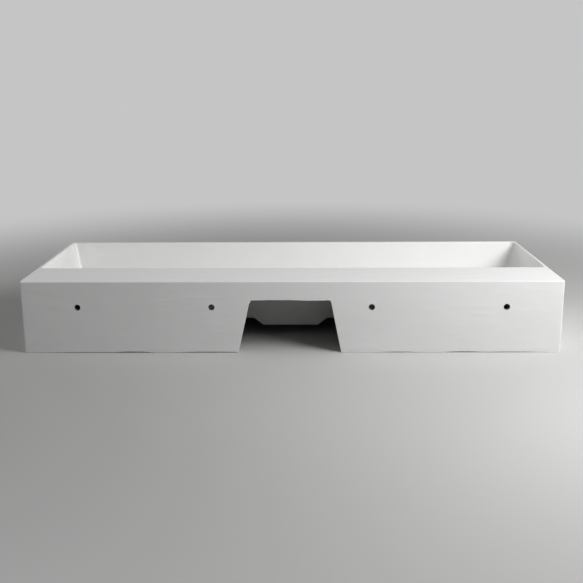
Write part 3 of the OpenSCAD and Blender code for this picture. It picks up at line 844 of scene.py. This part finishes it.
def ductCutter():
    near = o["ductSkin"] / taperCosine
    far = (o["ductSkin"] + o["ductDepth"]) / taperCosine
    low, high, top = o["ductFloor"], o["ductFloor"] + o["ductHeight"], o["ductTop"]
    corners = ((s["wasteY"], low), (rearFace(low) + far, low), (rearFace(top) + far, top),
               (rearFace(top) + near, top), (rearFace(high) + near, high), (s["wasteY"], high))
    ring = outline(corners, [0, 7, 2.5, 2.5, 3, 0])
    loops = [upright(x, ring) for x in (-o["ductHalf"], o["ductHalf"])]
    return loftMesh("ductCutter", loops)


def webRib(x):
    # A web between the bowl and the wall face, with an arch whose edges are rounded
    archY = (rearFace(o["webFoot"]) + shellFlat + wallInner) / 2
    sunk = o["webSunk"]
    loops = []
    for offset, inset in ((-1, 1.6), (-0.85, 0.5), (-0.6, 0), (0.6, 0), (0.85, 0.5), (1, 1.6)):
        foot = o["webFoot"] + inset
        arch = turnArc((archY, foot), o["webArch"] + inset, 180 * middles(28))
        points = [(rearFace(foot) + shellFlat - sunk, foot),
                  (rearFace(ceiling) + shellFlat - sunk, ceiling + sunk),
                  (wallInner + sunk, ceiling + sunk), (wallInner + sunk, foot)]
        loops.append(upright(x + offset * o["webHalf"], np.concatenate([points, arch])))
    return loftMesh("webRib", loops)


def glazeBead():
    # A drop of glaze that froze beside the upper corner of the cut-out
    corner = np.array([o["cutoutX"] + o["cutoutTopHalf"], s["wall"], o["cutoutHeight"]])
    wide, deep, tall = o["beadRadii"]
    loops = []
    for level in np.linspace(-90, 90, 13)[1:-1]:
        ring = turnArc((0, 0), cos(radians(level)), 360 * middles(20)) * (wide, deep)
        loops.append(flat(ring, tall * sin(radians(level))) + corner + o["bead"])
    return loftMesh("glazeBead", loops)


def makeBasin():
    coats = ["whiteGlaze", "thinGlaze", "bareBorePaintedShade"]
    basin, bead = basinBody(), glazeBead()
    ribs = [webRib(x) for x in (-o["webX"], o["webX"])]
    inner = [ductCutter(), overflowCutter()]
    outer = [throughWall("cutoutCutter", o["cutoutEdge"], cutoutRing)]
    # the fixing holes' bores take the third finish, painted shade darker than bare clay
    bores = [throughWall("fixingCutter", o["fixingEdge"], fixingRing(x)) for x in o["fixingX"]]
    coat(basin, coats)
    for index, others in enumerate((outer + [bead], ribs + inner, bores)):
        for other in others:
            coat(other, coats, index)
    combine(basin, ribs, "UNION")
    combine(basin, inner + outer + bores, "DIFFERENCE")
    combine(basin, [bead], "UNION")
    dress(basin, "basin")


makeBasin()


# Turned pieces: profiles of radius and height about the waste's axis
atWaste = Matrix.Translation((0, s["wasteY"] * mm, 0))


def turned(name, profile, columns=96, shape=None, place=atWaste):
    # Each corner of the profile is a radius, a height, a rounding and the steps to the next
    # corner; a profile that starts on the axis also ends there
    reaches, heights, radii, spans = zip(*profile)
    closed = reaches[0] > 0
    corners = [np.array([point], float) for point in zip(reaches, heights)]
    path = np.concatenate(roundedPath(corners, radii, [4] * len(profile), spans, closed))
    angles = np.arange(columns) * 2 * pi / columns
    loops = []
    for radius, height in path:
        r, z = np.full(columns, radius), np.full(columns, height)
        if shape:
            r, z = shape(r, angles, z)
        loops.append(np.column_stack([r * np.cos(angles), r * np.sin(angles), z]))
    piece = loftMesh(name, loops, closed)
    piece.data.transform(place)
    return piece


def spokes(name, count, firstAngle, width, radii, heights, rounding, place=atWaste):
    # Rounded blocks around the axis, to be cut from a turned piece or joined to it
    (near, far), (low, high), half = radii, heights, width / 2
    ring = outline([(-half, low), (half, low), (half, high), (-half, high)], [rounding] * 4)
    made = []
    for index in range(count):
        block = loftMesh(name, [upright(near, ring), upright(far, ring)])
        block.data.transform(Matrix.Rotation(radians(firstAngle + 360 * index / count), 4, "Z"))
        block.data.transform(place)
        made.append(block)
    return made


def threadDepth(angles, heights, pitch, depth, low, high):
    # A rounded screw thread that fades out at both ends
    turn = (heights / pitch - angles / (2 * pi)) % 1
    ridge = np.clip(2.6 * np.abs(turn - 0.5) - 0.15, 0, 1)
    starts = smoothStep(heights, low, low + pitch / 2)
    return depth * ridge * starts * (1 - smoothStep(heights, high - pitch, high))


def seatAt(radius):
    # Height of the sloping seat of the waste hole
    return s["floorAtWaste"] - s["recessDepth"] - (s["recessRadius"] - radius) * seatRate


wasteSizes = {
    "throat": 18.055,
    "tube": 20.955,
    "neck": 20.455,
    "tail": 2.0,
    "pitch": 2.309,
    "threadDepth": 1.1,
    "threadTop": 30.5,
    "relief": (9.0, 10.0),   # a plain groove in the thread
    "flangeRadius": 32.5,
    "flangeThick": 2.1,
    "flangeSeat": 31.6,
    "sealThick": 1.577,
    "dish": 19.5,
    "slotWidth": 15.0,
    "slot": (32.5, 40.5),
    "cross": (12.0, 18.0),
    "hub": 7.5,
    "hubHole": 4.06,
    "armWidth": 3.0,
}
w = wasteSizes


# pairs are a radius and a height from the ceramic's face
ringSizes = {"bore": 11.2, "foot": -8.8, "hook": (13.6, -5.8), "sleeve": 12.8, "rim": (17.0, 1.5),
             "crest": (15.6, 2.4), "lip": (12.1, 1.5), "legs": 4, "slit": (12.67, -2.75)}


def makeOverflowRing():
    place = overflowPlace()
    bore, foot, hook, sleeve, rim, crest, lip, legs, (gap, gapEnd) = ringSizes.values()
    ring = turned("overflow_collar", [
        (bore, foot, 0.3, 3), (bore + 1.1, foot, 0.3, 1), (hook[0], hook[1] - 1.0, 0.3, 1),
        (*hook, 0.2, 1), (sleeve, hook[1], 0, 4), (sleeve, 0, 0, 2), (rim[0], 0, 0.2, 1),
        (*rim, 1.0, 1), (*crest, 0.9, 2), (lip[0] + 0.5, lip[1] + 0.7, 0.5, 1),
        (*lip, 0.5, 1), (bore, lip[1] - 0.2, 0.4, 6)], place=place)
    slits = spokes("slit", legs, 0, gap, (bore - 3.2, hook[0] + 2.4), (foot - 3.2, gapEnd), 1.2, place)
    combine(ring, slits, "DIFFERENCE")
    dress(ring, "overflow_ring", ["chromePlate"])


sealSizes = {"near": 22.0, "far": 31.5}


def makeFlangeSeal():
    near, far = sealSizes.values()
    lift = w["sealThick"]
    seal = turned("flange_gasket", [
        (near, seatAt(near), 0.4, 4), (far, seatAt(far), 0.6, 1),
        (far, seatAt(far) + lift, 0.6, 4), (near, seatAt(near) + lift, 0.4, 1)])
    dress(seal, "flange_seal", ["sealRubber"])


def wasteThread(angles, z):
    return threadDepth(angles, z, w["pitch"], w["threadDepth"], w["tail"], w["threadTop"])


def makeWaste():
    throat, tube, neck, tail = (w[key] for key in ("throat", "tube", "neck", "tail"))
    seat, rim, dish = w["flangeSeat"], w["flangeRadius"], w["dish"]
    low, high = w["relief"]
    under = w["sealThick"]
    top = under + w["flangeThick"]

    def threaded(r, angles, z):
        cut = wasteThread(angles, z) * ~((z > low - 0.4) & (z < high + 0.4))
        return np.where(r > neck, r - cut * (z < w["threadTop"]), r), z

    body = turned("waste_tube", [
        (throat, tail, 0.3, 1), (tube, tail, 0.9, 24), (tube, low, 0.1, 1), (neck - 0.6, low, 0.1, 1),
        (neck - 0.6, high, 0.1, 1), (tube, high, 0.1, 68), (tube, w["threadTop"] + 0.5, 0.2, 1),
        (neck, w["threadTop"] + 0.5, 0.1, 2), (neck, seatAt(neck) + under, 0.4, 6),
        (seat, seatAt(seat) + under, 0.4, 1), (rim, seatAt(seat) + under + 0.5, 0.5, 1),
        (rim, seatAt(seat) + top, 0.7, 1), (seat - 1.0, seatAt(seat) + top, 0.8, 8),
        (dish, seatAt(dish) + top, 0.4, 1), (throat, seatAt(dish) + top - 0.4, 1.3, 10)],
        columns=144, shape=threaded)
    hole, reach, (base, peak) = w["hubHole"], w["hub"], w["cross"]
    hub = turned("hub", [(hole, base, 0.4, 1), (reach, base, 0.6, 1),
                         (reach, peak, 0.6, 1), (hole, peak, 0.4, 1)], columns=48)
    arms = spokes("arm", 4, 45, w["armWidth"], (reach - 1.5, throat + 1.4), w["cross"], 0.8)
    combine(body, [hub] + arms, "UNION")
    slots = spokes("slot", 4, 0, w["slotWidth"], (throat - 6, tube + 4), w["slot"], 2.4)
    combine(body, slots, "DIFFERENCE")
    dress(body, "waste_body", ["chromePlate"])


gasketSizes = {"bore": 21.205, "rim": 31.0, "low": 20.0, "rimTop": 21.67, "cone": (22.94, 25.0),
               "neck": 22.07, "high": 28.0}
washerSizes = {"bore": 21.205, "rim": 31.0, "low": 18.4, "high": 20.0}


def makeTaperedGasket():
    bore, rim, low, rimTop, cone, neck, high = gasketSizes.values()
    gasket = turned("cone_gasket", [
        (bore, low, 0.3, 3), (rim, low, 0.6, 1), (rim, rimTop, 0.5, 5), (*cone, 0.5, 2),
        (neck, high, 0.3, 1), (bore, high, 0.2, 3)])
    dress(gasket, "tapered_gasket", ["sealRubber"])


def makeSlipWasher():
    bore, rim, low, high = washerSizes.values()
    washer = turned("slide_washer", [
        (bore, low, 0.25, 3), (rim, low, 0.35, 1), (rim, high, 0.35, 3), (bore, high, 0.25, 1)])
    dress(washer, "slip_washer", ["whitePlastic"])


nutSizes = {"low": 10.0, "high": 18.4, "collar": 17.0, "flats": 54.0, "bore": 21.015}


def makeBackNut():
    low, high, collar, flats, bore = nutSizes.values()
    half = flats / 2
    corner = half / cos(radians(30))

    def threaded(r, angles, z):
        # the thread inside is in step with that of the waste
        return np.where(r <= bore + 0.01, r - wasteThread(angles, z), r), z

    nut = turned("hex_nut", [
        (bore + 1.0, low, 0, 3), (half - 1.0, low, 0.2, 6), (corner + 0.4, low + 2.3, 0, 1),
        (corner + 0.4, collar - 1.2, 0, 1), (half - 0.4, collar + 0.6, 0, 1),
        (half - 0.4, high, 0.5, 4), (bore + 1.0, high, 0, 2), (bore, high - 0.9, 0, 24),
        (bore, low + 0.9, 0, 2)], columns=180, shape=threaded)
    ring = outline(turnArc((0, s["wasteY"]), corner, 60 * np.arange(6)), [1.2] * 6)
    hexagon = loftMesh("hexagon", [flat(ring, low - 1), flat(ring, high + 1)])
    combine(nut, [hexagon], "INTERSECT")
    dress(nut, "back_nut", ["turnedBrass"])


clickSizes = {
    "stub": (4.0, 12.0),
    "barrel": (8.0, 18.0, 44.0),
    "bore": (5.5, 20.0),
    "keyWidth": 1.6,
    "keys": 4,
    "groove": (30.4, 42.3),
    "flute": 0.25,
    "cap": (3.06, 46.0),
    "spigot": (5.44, 42.0),
    "coil": 4.5,
    "wire": 0.35,
    "spring": (20.45, 25.95),
    "turns": 4.5,
    "rotor": (2.06, 5.14, 26.4, 30.4),
    "teeth": 8,
    "toothHeight": 1.0,
}
c = clickSizes


def makeHousing():
    stub, foot = c["stub"]
    barrel, low, high = c["barrel"]
    bore, seat = c["bore"]

    def fluted(r, angles, z):
        grip = (r > barrel - 0.01) & (z > low + 3) & (z < high - 4)
        return r - grip * c["flute"] * (0.5 - 0.5 * np.cos(24 * angles)), z

    housing = turned("click_barrel", [
        (0, foot, 0, 2), (stub, foot, 0.5, 6), (stub, low, 0.3, 1), (barrel, low, 0.5, 2),
        (barrel, low + 2.6, 0, 2), (barrel, low + 3.4, 0, 14), (barrel, high - 4.4, 0, 2),
        (barrel, high - 3.6, 0, 3), (barrel, high, 0.3, 1), (bore, high, 0.2, 16),
        (bore, seat, 0.4, 2), (0, seat, 0, 1)], columns=144, shape=fluted)
    grooves = spokes("groove", c["keys"], 0, c["keyWidth"] + 0.6, (2.0, 6.4), c["groove"], 0.3)
    combine(housing, grooves, "DIFFERENCE")
    dress(housing, "click_housing", ["ivoryPlastic"])


def makeHousingCap():
    hole, top = c["cap"]
    spigot, low = c["spigot"]
    barrel, seam = c["barrel"][0], c["barrel"][2]
    cap = turned("click_cap", [
        (hole, low, 0.2, 1), (spigot, low, 0.4, 1), (spigot, seam, 0.1, 1), (barrel, seam, 0.2, 1),
        (barrel, top, 0.6, 3), (hole + 0.5, top, 0.1, 1), (hole, top - 0.5, 0.1, 4)], columns=72)
    dress(cap, "click_housing_cap", ["ivoryPlastic"])


def makeSpring():
    # A round wire whose end turns lie closed
    low, high = c["spring"]
    steps, around = 190, 10
    share = np.arange(steps + 1) / steps
    angle = 2 * pi * c["turns"] * share
    rise = low + (high - low) * (0.35 * share + 0.65 * smoothStep(share, 0.08, 0.92))
    loops = []
    for turn, z in zip(angle, rise):
        cross = turnArc((c["coil"], z), c["wire"], 360 * middles(around))
        loops.append(flat(cross[:, :1] * (cos(turn), sin(turn)), cross[:, 1]))
    spring = loftMesh("coil_spring", loops)
    spring.data.transform(atWaste)
    dress(spring, "click_spring", ["springSteel"], None, 50)
    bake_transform(spring)


def makeRotor():
    hole, outer, low, high = c["rotor"]

    def toothed(r, angles, z):
        rise = (angles * c["teeth"] / (2 * pi)) % 1
        return r, np.where(z > high - 0.2, z - c["toothHeight"] * (1 - rise), z)

    rotor = turned("click_wheel", [
        (hole, low, 0.2, 1), (outer, low, 0.3, 2), (outer, high - 1.5, 0, 1), (outer, high, 0, 1),
        (hole, high, 0, 1), (hole, high - 1.5, 0, 1)], columns=128, shape=toothed)
    dress(rotor, "click_rotor", ["ivoryPlastic"], "rotor")


plugSizes = {
    "pin": (2.0, 26.7),
    "collar": (5.44, 30.7, 33.7),
    "keyReach": 6.1,
    "stem": 3.0,
    "foot": 46.6,
    "tip": (2.5, 50.6),
    "pitch": 0.8,
    "threadDepth": 0.35,
    "radius": 31.0,
    "plate": 53.3,
    "edge": 2.0,
    "dome": 2.0,
    "boss": 6.0,
    "hole": (2.56, 50.9),
    "seal": (22.0, 27.0),
    "sealLift": 3.996,
}
p = plugSizes


def makeStem():
    pin, foot = p["pin"]
    collar, low, high = p["collar"]
    tip, top = p["tip"]

    def threaded(r, angles, z):
        cut = threadDepth(angles, z, p["pitch"], p["threadDepth"], p["foot"], top)
        return np.where(z > p["foot"] + 0.2, r - np.minimum(r, cut), r), z

    stem = turned("stem_rod", [
        (0, foot, 0, 1), (pin, foot, 0.4, 3), (pin, low, 0.1, 1), (collar, low, 0.3, 1),
        (collar, high, 0.5, 1), (p["stem"], high, 0.3, 6), (p["stem"], p["foot"], 0.2, 1),
        (tip, p["foot"], 0.1, 30), (tip, top, 0.4, 1), (0, top, 0, 1)], columns=64, shape=threaded)
    keys = spokes("key", c["keys"], 0, c["keyWidth"], (collar - 2.0, p["keyReach"]), (low, high), 0.3)
    combine(stem, keys, "UNION")
    dress(stem, "plug_stem", ["turnedBrass"], "plug")


def makePlugCap():
    hole, holeTop = p["hole"]
    edge = p["plate"] + p["edge"]
    flatRadius = p["radius"] - p["edge"] / 2
    dome = [(flatRadius * share, edge + p["dome"] * (1 - share ** 2), 0, 2)
            for share in (0.95, 0.85, 0.72, 0.58, 0.44, 0.3, 0.16, 0.06)]
    cap = turned("plug_disc", [
        (0, holeTop, 0, 1), (hole, holeTop, 0.2, 3), (hole, p["foot"], 0.2, 1),
        (p["boss"], p["foot"], 0.5, 5), (p["boss"], p["plate"], 0.6, 6),
        (p["radius"], p["plate"], 0.9, 1), (p["radius"], edge, 0.9, 1),
        *dome, (0, edge + p["dome"], 0, 1)], columns=144)
    dress(cap, "plug_cap", ["chromePlate"], "plug")


def makePlugSeal():
    near, far = p["seal"]
    lift = p["sealLift"]
    seal = turned("plug_gasket", [
        (near, seatAt(near) + lift, 0.5, 1), (near + 1.6, seatAt(near + 1.6) + lift + 0.5, 0.3, 1),
        (far - 0.8, seatAt(far - 0.8) + lift + 0.1, 0.3, 1), (far, seatAt(far) + lift, 0.4, 1),
        (far, p["plate"], 0.4, 2), (near, p["plate"], 0.3, 3)])
    dress(seal, "plug_seal", ["sealRubber"], "plug")


for makePiece in (makeOverflowRing, makeFlangeSeal, makeWaste, makeTaperedGasket, makeSlipWasher,
                  makeBackNut, makeHousing, makeHousingCap, makeSpring, makeRotor, makeStem,
                  makePlugCap, makePlugSeal):
    makePiece()


# Floor, lamps and a pale room
roomLook = {
    "floor": shade(0.53, 0.53, 0.525),
    "floorCloud": shade(0.5, 0.5, 0.495),
    "floorBounce": shade(0.27, 0.27, 0.27),  # what it throws back at the washbasin
    "background": shade(0.56, 0.56, 0.56),
    "ambient": shade(0.115, 0.115, 0.115),
    "fade": (0.75, 2.3),     # where it runs into the background, in metres
    "floorSize": 40,
    "cloudSize": 0.5,
    "cloudShare": 0.4,
    "grainSize": 0.003,
    "grainHeight": 0.0001,
    "lampAim": Vector((0, 0, 0.1)),
}
lamps = {   # place, size and power of each soft lamp
    "keyLamp": ((-1.12, 0.86, 0.95), 0.8, 18.8),
    "sideLamp": ((-1.8, 0.3, 1.4), 1.0, 11.5),
    "nearLamp": ((2.25, 0.7, 1.7), 2.0, 11.0),
    "frontLamp": ((-1.9, -2.2, 0.35), 0.6, 20.0),
    "farLamp": ((1.9, -2.2, 0.4), 0.7, 14.0),
}


def seenDirectly(finish):
    # 1 where the camera, a reflection or a view through glass meets a surface
    rays = [finish.node("ShaderNodeLightPath", {}, {}, ray)
            for ray in ("Is Camera Ray", "Is Glossy Ray", "Is Transmission Ray")]
    return finish.node("ShaderNodeMath", {"operation": "ADD", "use_clamp": True},
                       {0: rays[0] + rays[1], 1: rays[2]})


def makeFloor():
    look = roomLook
    bpy.ops.mesh.primitive_plane_add(size=look["floorSize"])
    floor = bpy.context.object
    floor.name = "floor"
    finish = Finish("paleFloor", {"Base Color": look["floor"], "Roughness": 0.8,
                                  "Specular IOR Level": 0.0})
    place = finish.place()
    seen = seenDirectly(finish)
    cloud = finish.noise(place, look["cloudSize"], 4.0)
    pale = finish.mix(cloud * look["cloudShare"], look["floor"], look["floorCloud"])
    finish.plug(finish.shader, {"Base Color": finish.mix(seen, look["floorBounce"], pale)})
    finish.relief(finish.noise(place, look["grainSize"], 3.0) * look["grainHeight"])
    away = finish.node("ShaderNodeVectorMath", {"operation": "LENGTH"}, {0: place}, "Value")
    glow = finish.node("ShaderNodeEmission", {}, {"Color": look["background"]})
    body = Wire(finish, finish.shader.outputs[0])
    fade = away.ramp(*look["fade"]) * seen
    joined = finish.node("ShaderNodeMixShader", {}, {0: fade, 1: body, 2: glow})
    finish.plug(finish.tree.nodes["Material Output"], {"Surface": joined})
    floor.data.materials.append(finish.material)


def makeLamp(name, place, size, power):
    lamp = bpy.data.lights.new(name, "AREA")
    lamp.shape = "DISK"
    lamp.size = size
    lamp.energy = power
    holder = addObject(name, lamp)
    holder.location = place
    holder.visible_camera = False
    aim = roomLook["lampAim"] - Vector(place)
    holder.rotation_euler = aim.to_track_quat("-Z", "Y").to_euler()


class World(Finish):
    def __init__(self, name):
        self.world = bpy.data.worlds.new(name)
        self.world.use_nodes = True
        self.tree = self.world.node_tree


def makeRoom():
    look = roomLook
    room = World("room")
    seen = seenDirectly(room)
    back = room.tree.nodes["Background"]
    room.plug(back, {"Color": room.mix(seen, look["ambient"], look["background"]), "Strength": 1.0})
    bpy.context.scene.world = room.world
    for name, (place, size, power) in lamps.items():
        makeLamp(name, place, size, power)


makeFloor()
makeRoom()
bpy.context.scene.view_settings.view_transform = "Standard"
print("room set")

bpy.context.view_layer.update()
